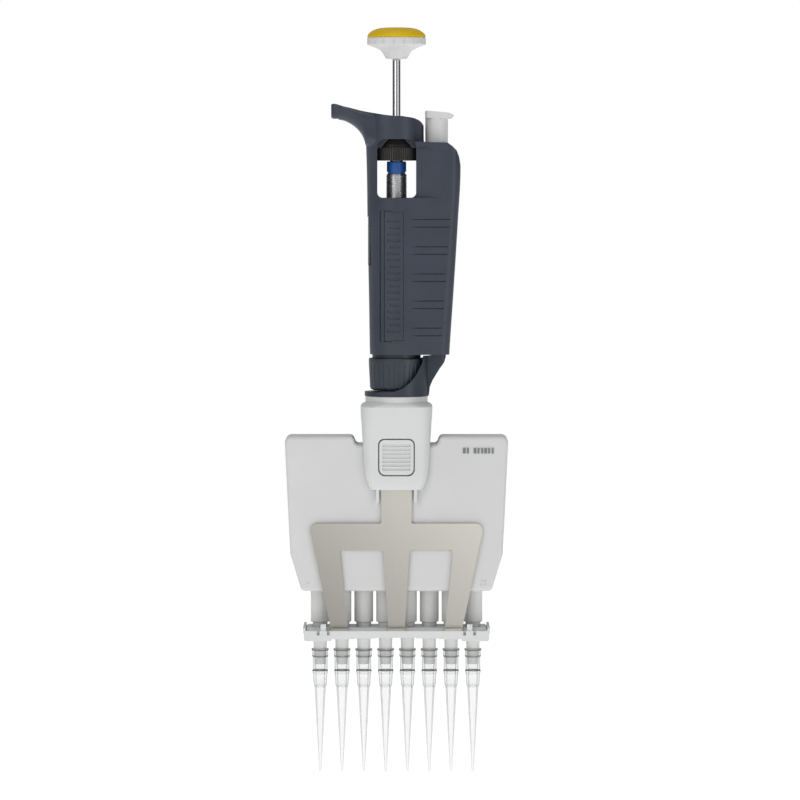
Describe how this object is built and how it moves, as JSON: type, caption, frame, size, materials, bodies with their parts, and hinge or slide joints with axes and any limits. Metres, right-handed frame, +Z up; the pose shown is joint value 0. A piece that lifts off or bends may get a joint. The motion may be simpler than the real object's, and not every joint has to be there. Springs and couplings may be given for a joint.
{
  "type": "multichannel pipette",
  "caption": "Hand-held multichannel pipette with finger hook, micrometer volume dial, push button, tip-ejector fork and comb, swivelling channel block and clear tips.",
  "frame": {"origin": "on the axis of the push button and screw, level with the tips' lower ends: the bottom centre of the bounding box", "axes": "+Z up along the pipette's axis, X along the row of channels with the finger hook to -X and the tip-ejector button to +X, -Y the front"},
  "size_m": [0.0916, 0.029, 0.3065],
  "materials": {
    "clear_tip": "clear polypropylene",
    "nozzle_plastic": "moulded, satin",
    "seal_rubber": "matt",
    "steel": "turned",
    "spring_steel": "drawn wire",
    "grey_plastic": "moulded",
    "white_plastic": "fine texture",
    "shell_plastic": "fine texture",
    "fork_steel": "brushed sheet",
    "comb_plastic": "fine texture",
    "nut_plastic": "satin",
    "navy_plastic": "satin",
    "black_plastic": "satin",
    "digit_plastic": "printed",
    "lens": "clear window",
    "brass": "turned",
    "screw_steel": "cut thread",
    "blue_plastic": "satin",
    "yellow_plastic": "satin gloss",
    "chrome": "polished",
    "pale_grey_plastic": "satin"
  },
  "bodies": {
    "handle": {"handle_body": "navy_plastic", "coupling_spigot": "black_plastic", "rod_bush": "black_plastic", "display_lens": "lens", "screw_nut": "brass", "ring_retainer": "steel", "ejector_spring": "spring_steel", "blowout_spring": "spring_steel"},
    "dial": {"thumbwheel": "black_plastic", "drive_tube": "steel"},
    "micrometer": {"micrometer_screw": "screw_steel", "volume_ring": "blue_plastic"},
    "plunger": {"push_button": "white_plastic", "button_cap": "yellow_plastic", "operating_rod": "chrome", "stop_collar": "steel"},
    "units": {"units_ring": "digit_plastic"},
    "tens": {"tens_ring": "digit_plastic"},
    "hundreds": {"hundreds_ring": "digit_plastic"},
    "blowout": {"blowout_cup": "steel"},
    "ejector": {"ejector_button": "pale_grey_plastic", "ejector_rod": "steel", "ejector_arm": "navy_plastic"},
    "nut": {"connecting_nut": "nut_plastic"},
    "module": {"module_front": "white_plastic", "module_rear": "white_plastic", "neck_tube": "white_plastic", "nozzle_base": "grey_plastic", "seal_plate": "steel", "piston_seals": "seal_rubber", "module_screws": "steel", "return_springs": "spring_steel", "nozzle_1": "nozzle_plastic", "nozzle_2": "nozzle_plastic", "nozzle_3": "nozzle_plastic", "nozzle_4": "nozzle_plastic", "nozzle_5": "nozzle_plastic", "nozzle_6": "nozzle_plastic", "nozzle_7": "nozzle_plastic", "nozzle_8": "nozzle_plastic"},
    "piston_carriage": {"drive_rod": "steel", "piston_plate": "steel", "pistons": "steel"},
    "tip_ejector": {"shell_front": "shell_plastic", "shell_rear": "shell_plastic", "fork_front": "fork_steel", "fork_rear": "fork_steel", "comb": "comb_plastic"},
    "release_front": {"release_button_front": "shell_plastic"},
    "release_rear": {"release_button_rear": "shell_plastic"},
    "tips": {"tip_1": "clear_tip", "tip_2": "clear_tip", "tip_3": "clear_tip", "tip_4": "clear_tip", "tip_5": "clear_tip", "tip_6": "clear_tip", "tip_7": "clear_tip", "tip_8": "clear_tip"}
  },
  "joints": [
    {"name": "dial_turn", "type": "hinge", "parent": "handle", "child": "dial", "pos_m": [0, 0, 0.255], "axis": [0, 0, 1], "range_deg": [-6481, 0]},
    {"name": "screw_travel", "type": "slide", "parent": "dial", "child": "micrometer", "axis": [0, 0, 1], "range_m": [-0.0144, 0]},
    {"name": "plunger_press", "type": "slide", "parent": "dial", "child": "plunger", "axis": [0, 0, -1], "range_m": [0, 0.02], "stiffness_N_per_m": 350, "springref_m": -0.008},
    {"name": "units_turn", "type": "hinge", "parent": "handle", "child": "units", "pos_m": [0, 0, 0.2126], "axis": [0, 0, 1], "range_deg": [-6482, 0]},
    {"name": "tens_turn", "type": "hinge", "parent": "handle", "child": "tens", "pos_m": [0, 0, 0.2192], "axis": [0, 0, 1], "range_deg": [-648.5, 0]},
    {"name": "hundreds_turn", "type": "hinge", "parent": "handle", "child": "hundreds", "pos_m": [0, 0, 0.2258], "axis": [0, 0, 1], "range_deg": [-65.3, 0]},
    {"name": "blowout_press", "type": "slide", "parent": "handle", "child": "blowout", "axis": [0, 0, -1], "range_m": [0, 0.00401], "deforming": ["blowout_spring"]},
    {"name": "eject_press", "type": "slide", "parent": "handle", "child": "ejector", "axis": [0, 0, -1], "range_m": [0, 0.0096], "stiffness_N_per_m": 500, "springref_m": -0.01, "deforming": ["ejector_spring"]},
    {"name": "nut_turn", "type": "hinge", "parent": "handle", "child": "nut", "pos_m": [0, 0, 0.1642], "axis": [0, 0, 1], "continuous": true},
    {"name": "module_swivel", "type": "hinge", "parent": "handle", "child": "module", "pos_m": [0, 0, 0.161], "axis": [0, 0, 1], "continuous": true},
    {"name": "piston_travel", "type": "slide", "parent": "module", "child": "piston_carriage", "axis": [0, 0, -1], "range_m": [0, 0.02001], "deforming": ["return_springs"]},
    {"name": "tip_eject", "type": "slide", "parent": "module", "child": "tip_ejector", "axis": [0, 0, -1], "range_m": [0, 0.00961]},
    {"name": "release_front_press", "type": "hinge", "parent": "tip_ejector", "child": "release_front", "pos_m": [0, -0.0126, 0.1236], "axis": [-1, 0, 0], "range_deg": [0, 4], "stiffness_Nm_per_rad": 0.5},
    {"name": "release_rear_press", "type": "hinge", "parent": "tip_ejector", "child": "release_rear", "pos_m": [0, 0.0126, 0.1236], "axis": [1, 0, 0], "range_deg": [0, 4], "stiffness_Nm_per_rad": 0.5},
    {"name": "tips_off", "type": "slide", "parent": "module", "child": "tips", "axis": [0, 0, -1], "range_m": [0, 0.00551]}
  ],
  "couplings": [
    {"joint": "dial_turn", "follows": "screw_travel", "rad_per_m": 7854},
    {"joint": "units_turn", "follows": "screw_travel", "rad_per_m": 7854},
    {"joint": "tens_turn", "follows": "screw_travel", "rad_per_m": 785.4},
    {"joint": "hundreds_turn", "follows": "screw_travel", "rad_per_m": 78.54},
    {"joint": "blowout_press", "follows": "plunger_press", "ratio": 0.2},
    {"joint": "piston_travel", "follows": "plunger_press", "ratio": 1},
    {"joint": "tip_eject", "follows": "eject_press", "ratio": 1},
    {"joint": "tips_off", "follows": "eject_press", "ratio": 0.57292}
  ]
}
